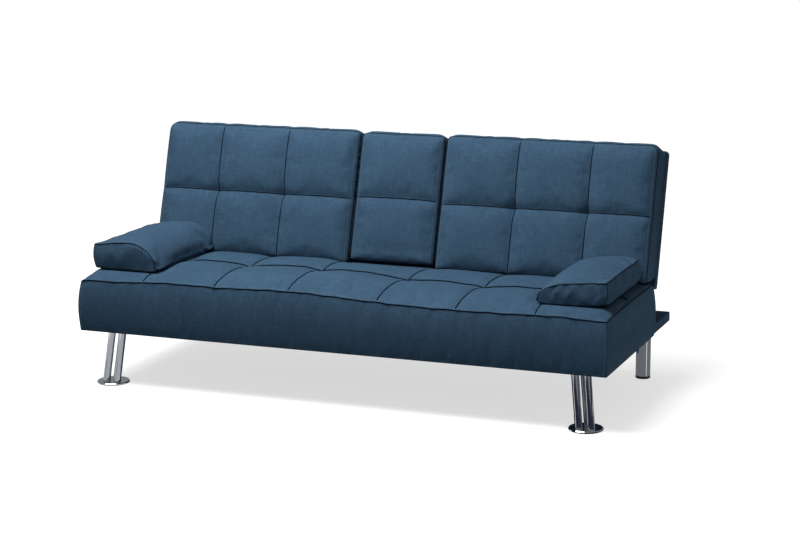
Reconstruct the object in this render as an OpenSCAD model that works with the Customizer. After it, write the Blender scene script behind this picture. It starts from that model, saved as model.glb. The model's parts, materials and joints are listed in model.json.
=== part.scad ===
// Three seat click-clack futon sofa bed with a fold-down centre table, two loose
// arm cushions, two three-tube front legs and two plain rear legs.
// X runs along the sofa, the seat faces -Y, +Z is up and z = 0 is the floor.

/* [Seat] */
// Overall width of the seat and of the backrest unit
sofa_w = 1820; // [1760:10:1860]
// Overall depth with the back upright, front of seat to rear of ledge
sofa_d = 820; // [800:5:840]
// Depth of the upholstered seat box
seat_d = 592; // [585:1:596]
// Height of the seat's top seam above the floor
seat_h = 372; // [368:1:374]
// how far the stuffed top of the seat stands above its rear edge
crown = 12; // [8:1:12]
// Height of the underside above the floor
base_z = 190; // [180:1:195]
// Fabric thickness
fabric_t = 2; // [1.5:0.5:2]

/* [Backrest] */
// How far the upright backrest leans back, in degrees
lean = 17; // [16:0.5:18]
// Height of the backrest along its own face
back_h = 462; // [440:2:480]
// Thickness of the padded back cushions
pad_t = 102.5; // [98:0.5:102.5]
// How far the backrest folds back to lie flat, in degrees
recline = 73; // [60:1:73]

/* [Centre table] */
// Width of the fold-down table
table_w = 304; // [280:2:304]
// Inner radius of a cup holder
cup_r = 38; // [34:0.5:40]
// Depth of a cup holder
cup_d = 48; // [35:1:52]
// Distance between the two cup holders
cup_gap = 140; // [120:2:150]

/* [Arm cushions] */
// Width of an arm cushion
cush_w = 230; // [200:5:240]
// Length of an arm cushion
cush_l = 435; // [400:5:440]

/* [Legs] */
// Radius of one tube of a front leg
tube_r = 12.5; // [10:0.5:13]
// Radius of the circle that the three tubes stand on
tri_r = 23; // [21:0.5:26]
// Radius of a front leg's round foot
foot_r = 55; // [48:1:60]
// Radius of a rear leg
rear_r = 25; // [20:1:28]

/* [Hidden] */
$fn = 48;

hw = sofa_w / 2;
y0 = -sofa_d / 2;            // front of the seat
y1 = y0 + seat_d;            // rear of the seat
y2 = sofa_d / 2;             // rear of the ledge
ft = fabric_t;
bot = base_z;
top = seat_h;
rail_top = top - 72;         // top of the timber seat rails
foam_z = top - 64;           // underside of the seat foam
ledge_top = bot + 34;
xs = hw - 26;                // inner face of a side board
ax = xs - 10;                // inner face of a hinge arm, outer face of the end stiles
// backrest frame: origin at the foot of its front face, local +Y is rearward through it, local +Z up along it
bo = [0, 109, top];
// main pivot, where the front face of the back ends level with the seat once it is flat
piv_t = 55;
piv_z = top - 52;
piv_y = bo[1] + (piv_t - sin(lean) * 52) / cos(lean);
piv_u = sin(lean) * (piv_y - bo[1]) - cos(lean) * 52;
board_t0 = 103;              // front of the rear board unit, in back coordinates
board_t1 = 148;              // rear of it
in_x = 159;                  // inner edge of a side back cushion
out_x = hw - 10;             // outer edge of the back
// table pivot in back coordinates
tp = [20, 36];
hub_r = 26;
pawl_q = [piv_y - 32.6, piv_z - 54];
leg_f = [hw - 81.5, y0 + 68]; // foot centre of a front leg
leg_in = 20;                 // how far a front leg leans in and back towards its top
leg_bk = 17;
leg_rr = [hw - 76, y0 + 754];
bear_x = [-leg_rr[0], -300, 300, leg_rr[0]];
cup_u = 300;

function arc(c, r, a0, a1, n) = [for (i = [0:n]) c + r * [cos(a0 + (a1 - a0) * i / n), sin(a0 + (a1 - a0) * i / n)]];
// underside of the back, level with the floor while the back is upright, as u for a given depth t
function under(t, z) = (z + t * sin(lean)) / cos(lean);

module side(s) { if (s > 0) children(); else mirror([1, 0, 0]) children(); }
module both() { children(); mirror([1, 0, 0]) children(); }
// extrudes an outline drawn in Y and Z along X, from xa to xb
module along_x(xa, xb) { translate([xa, 0, 0]) rotate([90, 0, 90]) linear_extrude(xb - xa) children(); }
module in_back() { translate(bo) rotate([-lean, 0, 0]) children(); }
module box(a, b) { translate(a) cube(b - a); }
module rod(r, xa, xb, y, z) { translate([xa, y, z]) rotate([0, 90, 0]) cylinder(r = r, h = xb - xa); }

// ---- seat ----
module seat_outline(o, low) {
  r = 22 - o;
  h = top - o;
  translate([y0 + o, low]) square([seat_d - 2 * o, h - low - r]);
  polygon([[y0 + o, low], [y0 + o, h - 8], [y0 + o + 8, h + crown - 5], [y0 + 30, h + crown], [y1 - 104, h + crown], [y1 - 77, h], [y1 - o - r, h], [y1 - o - r, low]]);
  translate([y1 - o - r, h - r]) circle(r);
}
module seat_cover() color("steelblue") difference() {
  along_x(-hw, hw) seat_outline(0, bot);
  along_x(-hw + ft, hw - ft) seat_outline(ft, bot - 1);
  both() hinge_slot();
  for (x = bear_x) box([x - 31, y1 - 5, bot - 1], [x + 31, y1 + 1, bot + 20.5]);
}
// opening at each end of the seat's rear nose, through which the hinge arm swings
module hinge_slot() { box([xs - 16, y1 - 77, bot + 38], [xs, y1 + 1, top - 20]); box([xs - 16, y1 - 30, top - 21], [xs, y1 + 1, top + 1]); }
module seat_foam() color("khaki") difference() {
  along_x(-hw + ft + 0.5, hw - ft - 0.5) seat_outline(ft + 0.5, foam_z);
  both() box([xs - 1, y0 - 1, foam_z - 1], [hw, y1, top - 33]);
  both() box([xs - 24, y1 - 90, foam_z - 1], [xs + 2, y1, top - 20]);
  both() box([xs - 18, y1 - 32, top - 21], [xs + 2, y1, top + 1]);
}
module seat_felt_pad() color("dimgray") difference() {
  box([-xs + 1, y0 + 3, rail_top + 4], [xs - 1, y1 - 3, foam_z - 0.5]);
  both() box([xs - 24, y1 - 90, rail_top], [xs, y1, foam_z + 1]);
}
module seat_front_rail() color("burlywood") box([-xs + 0.5, y0 + 3, bot + 2], [xs - 0.5, y0 + 25, rail_top]);
module seat_rear_rail() color("burlywood") box([-xs + 25, y1 - 25, bot + 20], [xs - 25, y1 - 3, rail_top]);
module side_board(s) color("burlywood") side(s) difference() {
  box([xs, y0 + 3, bot + 2], [hw - ft - 1, y1 - 3, top - 34]);
  rod(13, xs - 1, xs + 11, piv_y, piv_z);
  for (p = plate_holes()) rod(2.55, xs - 1, xs + 16.1, p[0], p[1]);
  rod(3.05, xs - 1, xs + 3.1, pawl_q[0], pawl_q[1]);
}
module seat_cross_rails() color("burlywood") for (x = [-300, 300])
  box([x - 20, y0 + 25, bot + 20], [x + 20, y1 - 25, rail_top - 30]);
module front_leg_blocks() color("burlywood") both() difference() {
  box([xs - 105, y0 + 25, bot + 2], [xs - 0.5, y0 + 135, bot + 42]);
  for (p = screw_grid([leg_f[0] - leg_in, leg_f[1] + leg_bk])) translate([p[0], p[1], bot - 1]) cylinder(r = 2.55, h = 29.1);
}
function screw_grid(c) = [for (i = [-1, 1], j = [-1, 1]) c + 35 * [i, j]];
module ledge_bearers() color("burlywood") difference() {
  for (x = bear_x) box([x - 30, y0 + 290, bot + 2], [x + 30, y2 - 22, bot + 20]);
  both() for (p = screw_grid(leg_rr)) translate([p[0], p[1], bot - 1]) cylinder(r = 2.55, h = 19.1);
}
module ledge_deck_board() color("tan") box([-hw + 5, y1 + 4, bot + 20], [hw - 5, y2 - 4, bot + 32 - 0.5]);
module ledge_edge_strips() color("burlywood") {
  box([-hw + 5, y2 - 21.5, bot + 2], [hw - 5, y2 - 4, bot + 20]);
  both() box([hw - 24, y1 + 4, bot + 2], [hw - 5, y2 - 21.5, bot + 20]);
}
module ledge_cover() color("steelblue") difference() {
  box([-hw + 2, y1 + 1, bot], [hw - 2, y2, ledge_top]);
  box([-hw + 2 + ft, y1 - 5, bot + ft - 0.2], [hw - 2 - ft, y2 - ft, ledge_top - ft + 0.2]);
  both() for (p = screw_grid(leg_rr)) translate([p[0], p[1], bot - 1]) cylinder(r = 3.2, h = 4);
}
module seat_dust_cover() color("black") difference() {
  box([-hw + ft + 0.5, y0 + ft + 0.5, bot], [hw - ft - 0.5, y1 - ft - 1, bot + 1.5]);
  both() for (p = screw_grid([leg_f[0] - leg_in, leg_f[1] + leg_bk])) translate([p[0], p[1], bot - 1]) cylinder(r = 3.2, h = 4);
}
// sinuous springs, a flat zigzag of square wire between the front and the rear rail
function zig(y) = 24 * sin(360 * (y - y0) / 44);
module seat_zigzag_springs() color("gray") for (x = [-720, -480, -160, 160, 480, 720]) {
  ys = [for (i = [0:102]) y0 + 8 + i * (seat_d - 16) / 102];
  translate([0, 0, rail_top]) linear_extrude(3.6)
    polygon(concat([for (y = ys) [x + zig(y) - 2.6, y]], [for (i = [102:-1:0]) [x + zig(ys[i]) + 2.6, ys[i]]]));
}

// ---- legs ----
module leg_plate(c) difference() {
  translate([c[0] - 45, c[1] - 45, bot - 3]) cube([90, 90, 3]);
  for (p = screw_grid(c)) translate([p[0], p[1], bot - 4]) cylinder(r = 3.1, h = 5);
}
module front_leg_plate(s) color("silver") side(s) leg_plate([leg_f[0] - leg_in, leg_f[1] + leg_bk]);
module front_leg_tubes(s) color("silver") side(s) {
  h = bot - 3 - 8;
  ay = atan(leg_in / h);
  ax2 = atan(leg_bk / h * cos(ay));
  for (a = [-30, 90, 210]) intersection() {
    translate([leg_f[0] + tri_r * cos(a), leg_f[1] + tri_r * sin(a), 8]) rotate([-ax2, 0, 0]) rotate([0, -ay, 0])
      translate([0, 0, -20]) difference() { cylinder(r = tube_r, h = h + 60); translate([0, 0, -1]) cylinder(r = tube_r - 1.2, h = h + 62); }
    translate([leg_f[0] - 100, leg_f[1] - 100, 8]) cube([200, 200, h]);
  }
}
module front_leg_foot(s) color("silver") side(s) translate([leg_f[0], leg_f[1], 0]) rotate_extrude()
  polygon([[0, 2], [foot_r - 1, 2], [foot_r, 3], [foot_r, 6], [foot_r - 2, 8], [0, 8]]);
module front_foot_pads() color("dimgray") both() translate([leg_f[0], leg_f[1], 0]) cylinder(r = foot_r - 5, h = 2);
module rear_leg_flange(s) color("silver") side(s) leg_plate(leg_rr);
module rear_leg_tube(s) color("silver") side(s) translate([leg_rr[0], leg_rr[1], 9]) difference() {
  cylinder(r = rear_r, h = bot - 3 - 9);
  translate([0, 0, -1]) cylinder(r = rear_r - 1.5, h = bot);
}
module rear_leg_glides() color("black") both() translate([leg_rr[0], leg_rr[1], 0]) rotate_extrude()
  polygon([[0, 0], [rear_r - 1, 0], [rear_r + 0.3, 1.3], [rear_r + 0.3, 9], [rear_r - 1.6, 9], [rear_r - 1.6, 28], [0, 28]]);
module leg_screws() color("gray") both() for (c = [[leg_f[0] - leg_in, leg_f[1] + leg_bk], leg_rr], p = screw_grid(c))
  translate([p[0], p[1], 0]) { translate([0, 0, bot - 6]) cylinder(r = 5.5, h = 3); translate([0, 0, bot - 3.5]) cylinder(r = 2.5, h = (c == leg_rr ? 20.5 : 30.5)); }

// ---- click-clack hinge, one at each end of the seat ----
function plate_holes() = [[piv_y - 70, piv_z - 72], [piv_y - 70, piv_z - 42], [piv_y, piv_z - 72]];
module hinge_seat_plate(s) color("darkgray") side(s) difference() {
  along_x(xs - 4, xs) union() {
    translate([piv_y, piv_z]) circle(hub_r);
    polygon([[piv_y - 82, piv_z - 82], [piv_y + 12, piv_z - 82], [piv_y + 26, piv_z - 8], [piv_y + 26, piv_z], [piv_y - 26, piv_z], [piv_y - 40, piv_z - 30], [piv_y - 82, piv_z - 30]]);
  }
  rod(6.05, xs - 5, xs + 1, piv_y, piv_z);
  rod(3.05, xs - 5, xs + 1, pawl_q[0], pawl_q[1]);
  for (p = plate_holes()) rod(3.05, xs - 5, xs + 1, p[0], p[1]);
}
module hinge_pivot_bolts() color("dimgray") both() {
  rod(6, ax - 6, xs + 8, piv_y, piv_z);
  rod(11, ax - 11, ax - 6, piv_y, piv_z);
  // washers
  difference() { rod(11, xs - 5.9, xs - 4.1, piv_y, piv_z); rod(6.05, xs - 7, xs - 3, piv_y, piv_z); }
  difference() { rod(14, ax - 5.9, ax - 0.2, piv_y, piv_z); rod(6.05, ax - 7, ax + 1, piv_y, piv_z); }
  // nut
  difference() { translate([xs + 0.5, piv_y, piv_z]) rotate([0, 90, 0]) cylinder(r = 11, h = 9, $fn = 6); rod(6.05, xs - 1, xs + 12, piv_y, piv_z); }
}
module hinge_plate_screws() color("dimgray") both() for (p = plate_holes()) {
  rod(2.5, xs - 5, xs + 16, p[0], p[1]);
  rod(5.5, xs - 7, xs - 4, p[0], p[1]);
}
// locking pawl, which hooks into the notch of the arm's hub
module hinge_pawl(s) color("gray") side(s) difference() {
  along_x(ax, ax + 4) union() {
    translate(pawl_q) circle(9);
    polygon([[piv_y - 41.6, piv_z - 54], [piv_y - 23.6, piv_z - 54], [piv_y - 27.6, piv_z - 20], [piv_y - 27.6, piv_z - 7], [piv_y - 20.6, piv_z - 6],
      [piv_y - 20.6, piv_z - 1], [piv_y - 36.6, piv_z - 1], [piv_y - 38.6, piv_z - 12]]);
  }
  rod(3.05, ax - 1, ax + 5, pawl_q[0], pawl_q[1]);
}
module pawl_rivets() color("silver") both() {
  rod(3, ax - 8, xs + 3, pawl_q[0], pawl_q[1]);
  rod(5.5, ax + 4.2, xs - 4.1, pawl_q[0], pawl_q[1]);
  rod(6, ax - 10, ax - 8, pawl_q[0], pawl_q[1]);
}
module pawl_springs() color("silver") both() {
  for (i = [0:2]) translate([ax - 6.6 + 2.2 * i, pawl_q[0], pawl_q[1]]) rotate([0, 90, 0]) rotate_extrude() translate([5.2, 0]) circle(1, $fn = 16);
  translate([ax - 6.6, pawl_q[0] - 5.2, pawl_q[1]]) cylinder(r = 0.9, h = 30, $fn = 16);
}
// hub outline: full radius, a notch for the pawl's nose, and the ramp that the nose clears as the back goes down
function hub_rad(a) = a < 180.5 ? hub_r : a < 197 ? 19.9 : min(hub_r, 20.9 + 0.0894 * (a - 196.2));
module hinge_back_arm(s) color("darkgray") side(s) difference() {
  along_x(ax, ax + 4) union() {
    translate([piv_y, piv_z]) polygon([for (a = [0:4:180], b = [0]) hub_rad(a) * [cos(a), sin(a)], hub_r * [cos(180.4), sin(180.4)], for (a = [180.6, 188, 196.9, for (k = [200:4:356]) k]) hub_rad(a) * [cos(a), sin(a)]]);
    translate([bo[1], bo[2]]) rotate(-lean) polygon([[piv_t + 20, piv_u - 16], [112, -26], [139, -8], [141, 60], [141, 170], [111, 170], [111, 45], [106.5, 6], [106.5, 0.6], [99, 0.3],
      [80, under(80, 1.5)], [46, under(46, 1.5)], [piv_t - 10, piv_u + 20]]);
  }
  rod(6.05, ax - 1, ax + 5, piv_y, piv_z);
  for (u = [50, 100, 150]) in_back() rod(3.05, ax - 1, ax + 5, 126, u);
}
module hinge_arm_screws() color("dimgray") both() in_back() for (u = [50, 100, 150]) {
  rod(2.5, ax - 28, ax + 4.5, 126, u);
  rod(5.5, ax + 4, ax + 7, 126, u);
}

// ---- backrest ----
module back_top_rail() color("burlywood") in_back() box([-out_x + 4, 107, back_h - 44], [out_x - 4, 143, back_h - 6]);
module back_bottom_rail() color("burlywood") in_back() difference() {
  box([-ax + 38, 107, 8], [ax - 38, 143, 44]);
  both() box([table_w / 2 + 1.2, 106, 7], [in_x - 1.2, 126, 45]);
}
module back_stiles() color("burlywood") in_back() both() {
  difference() {
    box([ax - 38, 107, 8], [ax, 143, back_h - 44]);
    for (u = [50, 100, 150]) rod(2.55, ax - 28.1, ax + 1, 126, u);
  }
  box([in_x - 1.5, 107, 44], [in_x + 38, 143, back_h - 44]);
}
module back_webbing() color("black") in_back() both() for (u = [85, 160, 235, 310, 385])
  box([in_x + 6, 105.2, u - 25], [out_x - 10, 106.8, u + 25]);
module recess_board() color("tan") in_back() box([-in_x + 7, 105.1, 8], [in_x - 7, 106.9, back_h - 6]);
module back_hardboard() color("tan") in_back() box([-out_x + 4, 143, 8], [out_x - 4, 145.8, back_h - 6]);
module back_rear_cover() color("steelblue") in_back() difference() {
  box([-out_x, board_t0, 2], [out_x, board_t1, back_h - 2]);
  box([-out_x + ft, board_t0 + ft, 2 + ft], [out_x - ft, board_t1 - ft, back_h - 2 - ft]);
  both() box([ax - 2, 104, 1], [ax + 8, 144, 2 + ft + 1]);
  both() box([in_x - 6, board_t0 - 1, 12], [in_x - 1, board_t0 + ft + 1, 76]);
}
function back_shape(o) = concat(
  [[o + 14, under(14, 4 + o)], [pad_t - o, under(pad_t - o, 4 + o)]],
  [[pad_t - o, back_h - o - 4], [pad_t - o - 4, back_h - o]],
  arc([26, back_h - 26], 26 - o, 90, 180, 5),
  [[o, 22], [o + 4, under(4, 4 + o) + 6]]);
module back_pad(s, o, gap) side(s) in_back() along_x(in_x + o, out_x - o) polygon(back_shape(o + gap));
module back_cover(s) color("steelblue") difference() { back_pad(s, 0, 0); back_pad(s, ft, 0); }
module back_foam(s) color("khaki") back_pad(s, ft + 0.3, 0);

// ---- fold-down centre table ----
module table_pivot_ears() color("darkgray") in_back() both() difference() {
  along_x(table_w / 2 + 1.5, in_x - 1.5) union() {
    translate(tp) circle(13);
    polygon([[tp[0], tp[1] - 13], [100, tp[1] - 9], [125, tp[1] - 9], [125, 72], [100, 72], [tp[0], tp[1] + 13]]);
  }
  rod(5.05, table_w / 2, in_x, tp[0], tp[1]);
}
module table_pivot_pins() color("silver") in_back() both() rod(5, table_w / 2 - 42, in_x - 0.6, tp[0], tp[1]);
module table_base_bar() color("burlywood") in_back() difference() {
  along_x(-table_w / 2 + 14, table_w / 2 - 14) union() {
    translate(tp) circle(12);
    polygon([[tp[0], tp[1] - 12], [tp[0] + 14, under(34, 13)], [85.5, under(85.5, 7.4)], [85.5, 78], [tp[0], 78]]);
    translate([tp[0] - 12, tp[1]]) square([20, 78 - tp[1]]);
  }
  both() rod(5.05, table_w / 2 - 43, table_w / 2, tp[0], tp[1]);
}
module table_board() color("tan") in_back() difference() {
  box([-table_w / 2 + ft + 0.5, 86, 44], [table_w / 2 - ft - 0.5, 97.8, back_h - 8]);
  both() rod_t(cup_r + 1.6, 80, 100);
}
module rod_t(r, ta, tb) { translate([cup_gap / 2, ta, cup_u]) rotate([-90, 0, 0]) cylinder(r = r, h = tb - ta, $fn = 96); }
module table_foam() color("khaki") in_back() difference() {
  box([-table_w / 2 + ft + 0.5, ft + 0.5, 78.3], [table_w / 2 - ft - 0.5, 85.7, back_h - ft - 0.5]);
  along_x(-table_w, table_w) polygon(concat([[-5, back_h - 26]], [[-5, back_h + 5], [26, back_h + 5]], arc([26, back_h - 26], 26 - ft - 0.5, 90, 180, 5)));
  both() rod_t(cup_r + 1.8, 100 - cup_d - 2.4, 90);
}
module table_outline(o) {
  translate(tp) circle(20 - o);
  polygon(concat([[o, tp[1]], [tp[0], tp[1]], [tp[0] + 6.5, under(26.5, 4.7 + o)], [100 - o, under(100 - o, 4.7 + o)]],
    [[100 - o, back_h - o - 4], [100 - o - 4, back_h - o]], arc([26, back_h - 26], 26 - o, 90, 180, 5)));
}
module table_cover() color("steelblue") in_back() difference() {
  along_x(-table_w / 2, table_w / 2) table_outline(0);
  along_x(-table_w / 2 + ft, table_w / 2 - ft) table_outline(ft);
  both() rod_t(cup_r + 1.6, 90, 101);
  both() rod(5.6, table_w / 2 - 5, table_w / 2 + 1, tp[0], tp[1]);
}
module cup_holders() color("black") in_back() both() difference() {
  union() { rod_t(cup_r + 1.5, 100 - cup_d - 2, 101); rod_t(cup_r + 9, 100, 101.8); }
  rod_t(cup_r, 100 - cup_d, 103);
}

// ---- loose arm cushions ----
module arm_cushion(s) color("steelblue") side(s) translate([hw - 25 - cush_w, y0 + 75, 0]) translate([0, cush_l, 0]) rotate([90, 0, 0]) linear_extrude(cush_l)
  polygon([[8, top + crown + 1], [0, top + crown + 7], [0, top + 28], [14, top + 50], [40, top + 76], [80, top + 94], [130, top + 100], [cush_w - 20, top + 96],
    [cush_w - 4, top + 90], [cush_w, top + 84], [cush_w, top + crown + 11], [cush_w - 8, top + crown + 1]]);

seat_front_rail();
seat_rear_rail();
side_board(-1);  // seat_left_side_board
side_board(1);  // seat_right_side_board
seat_cross_rails();
front_leg_blocks();
ledge_bearers();
ledge_deck_board();
ledge_edge_strips();
seat_zigzag_springs();
seat_felt_pad();
seat_foam();
seat_cover();
seat_dust_cover();
ledge_cover();
front_leg_plate(-1);  // front_left_leg_plate
front_leg_tubes(-1);  // front_left_leg_tubes
front_leg_foot(-1);  // front_left_leg_foot
front_leg_plate(1);  // front_right_leg_plate
front_leg_tubes(1);  // front_right_leg_tubes
front_leg_foot(1);  // front_right_leg_foot
rear_leg_flange(-1);  // rear_left_leg_flange
rear_leg_tube(-1);  // rear_left_leg_tube
rear_leg_flange(1);  // rear_right_leg_flange
rear_leg_tube(1);  // rear_right_leg_tube
rear_leg_glides();
front_foot_pads();
leg_screws();
hinge_seat_plate(-1);  // left_hinge_seat_plate
hinge_seat_plate(1);  // right_hinge_seat_plate
hinge_pivot_bolts();
hinge_plate_screws();
pawl_rivets();
pawl_springs();
hinge_pawl(-1);  // left_hinge_pawl
hinge_pawl(1);  // right_hinge_pawl
hinge_back_arm(-1);  // left_hinge_back_arm
hinge_back_arm(1);  // right_hinge_back_arm
hinge_arm_screws();
back_top_rail();
back_bottom_rail();
back_stiles();
back_webbing();
back_hardboard();
recess_board();
back_rear_cover();
back_foam(-1);  // left_back_foam
back_cover(-1);  // left_back_cover
back_foam(1);  // right_back_foam
back_cover(1);  // right_back_cover
table_pivot_ears();
table_pivot_pins();
table_board();
table_base_bar();
table_foam();
table_cover();
cup_holders();
arm_cushion(-1);  // left_arm_cushion
arm_cushion(1);  // right_arm_cushion
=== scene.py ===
import json
import math
import bpy
import numpy as np
from mathutils import Vector, Matrix


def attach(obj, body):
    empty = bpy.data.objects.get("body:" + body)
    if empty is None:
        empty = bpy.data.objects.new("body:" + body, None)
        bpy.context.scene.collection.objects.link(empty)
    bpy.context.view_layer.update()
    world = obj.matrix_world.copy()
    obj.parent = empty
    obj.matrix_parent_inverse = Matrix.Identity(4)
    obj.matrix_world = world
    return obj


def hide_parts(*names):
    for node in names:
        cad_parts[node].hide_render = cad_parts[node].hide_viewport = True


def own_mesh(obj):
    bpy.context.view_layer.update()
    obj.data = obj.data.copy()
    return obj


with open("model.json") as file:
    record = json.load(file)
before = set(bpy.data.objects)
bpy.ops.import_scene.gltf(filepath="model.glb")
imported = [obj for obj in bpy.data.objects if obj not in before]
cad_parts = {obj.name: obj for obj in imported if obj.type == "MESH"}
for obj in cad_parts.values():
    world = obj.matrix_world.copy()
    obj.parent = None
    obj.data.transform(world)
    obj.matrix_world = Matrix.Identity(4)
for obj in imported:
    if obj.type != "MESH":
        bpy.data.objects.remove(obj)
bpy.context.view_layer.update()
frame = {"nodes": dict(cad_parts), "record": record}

SC = bpy.context.scene
MM = 0.001
sin, cos, pi, exp = math.sin, math.cos, math.pi, math.exp

# ------------------------------------------------------------------ camera
yaw, pitch, roll = math.radians(21.08), math.radians(11.48), math.radians(-0.166)
fw = Vector((-sin(yaw) * cos(pitch), cos(yaw) * cos(pitch), -sin(pitch)))
r0 = Vector((cos(yaw), sin(yaw), 0))
u0 = r0.cross(fw)
r2, u2 = r0 * cos(roll) + u0 * sin(roll), -r0 * sin(roll) + u0 * cos(roll)
cam_data = bpy.data.cameras.new("camera")
cam_data.lens = 91.4
cam_data.sensor_width = 36
cam_data.clip_end = 200
cam = bpy.data.objects.new("camera", cam_data)
SC.collection.objects.link(cam)
m = Matrix((r2, u2, -fw)).transposed().to_4x4()
m.translation = Vector((2.4763, -6.2151, 1.7513))
cam.matrix_world = m
SC.camera = cam

# ------------------------------------------------------------------ node helpers


def new_mat(name):
    mat = bpy.data.materials.new(name)
    mat.use_nodes = True
    nt = mat.node_tree
    return mat, nt, nt.nodes["Principled BSDF"]


class NT:
    """Short names for shader nodes."""

    def __init__(self, nt):
        self.nt = nt

    def n(self, kind, **kw):
        x = self.nt.nodes.new(kind)
        for k, v in kw.items():
            setattr(x, k, v)
        return x

    def put(self, sock, val):
        if isinstance(val, bpy.types.NodeSocket):
            self.nt.links.new(val, sock)
        elif val is not None:
            sock.default_value = val

    def math(self, op, a, b=None, c=None, clamp=False):
        x = self.n("ShaderNodeMath", operation=op, use_clamp=clamp)
        for s, v in zip(x.inputs, (a, b, c)):
            self.put(s, v)
        return x.outputs[0]

    def sep(self, v):
        x = self.n("ShaderNodeSeparateXYZ")
        self.put(x.inputs[0], v)
        return x.outputs

    def comb(self, a, b, c=0.0):
        x = self.n("ShaderNodeCombineXYZ")
        for s, v in zip(x.inputs, (a, b, c)):
            self.put(s, v)
        return x.outputs[0]

    def noise(self, vec, scale=1.0, detail=2.0, rough=0.5):
        x = self.n("ShaderNodeTexNoise")
        self.put(x.inputs["Vector"], vec)
        x.inputs["Scale"].default_value = scale
        x.inputs["Detail"].default_value = detail
        x.inputs["Roughness"].default_value = rough
        return x.outputs["Fac"]

    def ramp(self, fac, stops):
        x = self.n("ShaderNodeValToRGB")
        self.put(x.inputs[0], fac)
        el = x.color_ramp.elements
        while len(el) < len(stops):
            el.new(0.5)
        for e, (p, c) in zip(el, stops):
            e.position = p
            e.color = (*c, 1)
        return x.outputs[0]

    def bump(self, height, strength, distance, normal=None):
        x = self.n("ShaderNodeBump")
        x.inputs["Strength"].default_value = strength
        x.inputs["Distance"].default_value = distance
        self.put(x.inputs["Height"], height)
        self.put(x.inputs["Normal"], normal)
        return x.outputs[0]

    def coords(self):
        """Object coordinates, and the two of them that lie along the face."""
        tc = self.n("ShaderNodeTexCoord")
        x, y, z = self.sep(tc.outputs["Object"])
        nx, ny, nz = self.sep(tc.outputs["Normal"])
        top = self.math("GREATER_THAN", self.math("ABSOLUTE", nz), 0.72)
        side = self.math("GREATER_THAN", self.math("ABSOLUTE", nx), 0.72)
        a = self.math("ADD", x, self.math("MULTIPLY", side, self.math("SUBTRACT", y, x)))
        b = self.math("ADD", z, self.math("MULTIPLY", top, self.math("SUBTRACT", y, z)))
        return tc.outputs["Object"], a, b


def fabric(name, dark, mid, light, pitch=0.0021, weave=1.0, rough=0.86, sheen=0.28, tint=(0.35, 0.65, 1.0), slub=1.0):
    """Plain-woven slub cloth: threads, thick and thin yarns, heather colour and soft wear."""
    mat, nt, b = new_mat(name)
    g = NT(nt)
    obj, a, c = g.coords()
    warp = g.math("SINE", g.math("MULTIPLY", a, 2 * pi / pitch))
    weft = g.math("SINE", g.math("MULTIPLY", c, 2 * pi / pitch))
    cross = g.math("MULTIPLY", warp, weft)
    streak_a = g.noise(g.comb(g.math("MULTIPLY", a, 18), g.math("MULTIPLY", c, 520)), 1.0, 3.0, 0.6)
    streak_b = g.noise(g.comb(g.math("MULTIPLY", a, 520), g.math("MULTIPLY", c, 18), 7.3), 1.0, 3.0, 0.6)
    slub_a = g.noise(g.comb(g.math("MULTIPLY", a, 34), g.math("MULTIPLY", c, 210), 3.1), 1.0, 3.0, 0.65)
    slub_b = g.noise(g.comb(g.math("MULTIPLY", a, 210), g.math("MULTIPLY", c, 34), 9.7), 1.0, 3.0, 0.65)
    heather = g.noise(obj, 260.0, 3.0, 0.7)
    broad = g.noise(obj, 5.0, 3.0, 0.55)
    wear = g.noise(obj, 22.0, 4.0, 0.6)
    s = g.math("ADD", g.math("MULTIPLY", streak_a, 0.5 * slub), g.math("MULTIPLY", streak_b, 0.42 * slub))
    s = g.math("ADD", s, g.math("MULTIPLY", heather, 0.34))
    s = g.math("ADD", s, g.math("MULTIPLY", broad, 0.30))
    s = g.math("ADD", s, g.math("MULTIPLY", wear, 0.14))
    s = g.math("ADD", s, g.math("MULTIPLY", cross, 0.05 * weave))
    s = g.math("ADD", s, g.math("MULTIPLY", g.math("ADD", slub_a, slub_b), 0.46 * slub))
    k = 1.84 * slub + 0.34 + 0.30 + 0.14
    f = g.math("ADD", g.math("MULTIPLY", g.math("SUBTRACT", g.math("DIVIDE", s, k), 0.5), 3.4), 0.5, clamp=True)
    nt.links.new(g.ramp(f, [(0.0, dark), (0.5, mid), (1.0, light)]), b.inputs["Base Color"])
    h = g.math("ADD", g.math("MULTIPLY", cross, 0.5 * weave), g.math("MULTIPLY", g.math("ADD", streak_a, streak_b), 1.3 * slub))
    h = g.math("ADD", h, g.math("MULTIPLY", heather, 0.8))
    nrm = g.bump(g.noise(obj, 55.0, 3.0, 0.6), 0.22, 0.0012)
    nt.links.new(g.bump(h, 0.55, 0.00045, nrm), b.inputs["Normal"])
    nt.links.new(g.math("ADD", g.math("MULTIPLY", wear, 0.14), rough - 0.07), b.inputs["Roughness"])
    b.inputs["Sheen Weight"].default_value = sheen
    b.inputs["Sheen Roughness"].default_value = 0.45
    b.inputs["Sheen Tint"].default_value = (*tint, 1)
    b.inputs["Specular IOR Level"].default_value = 0.05
    return mat


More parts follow.
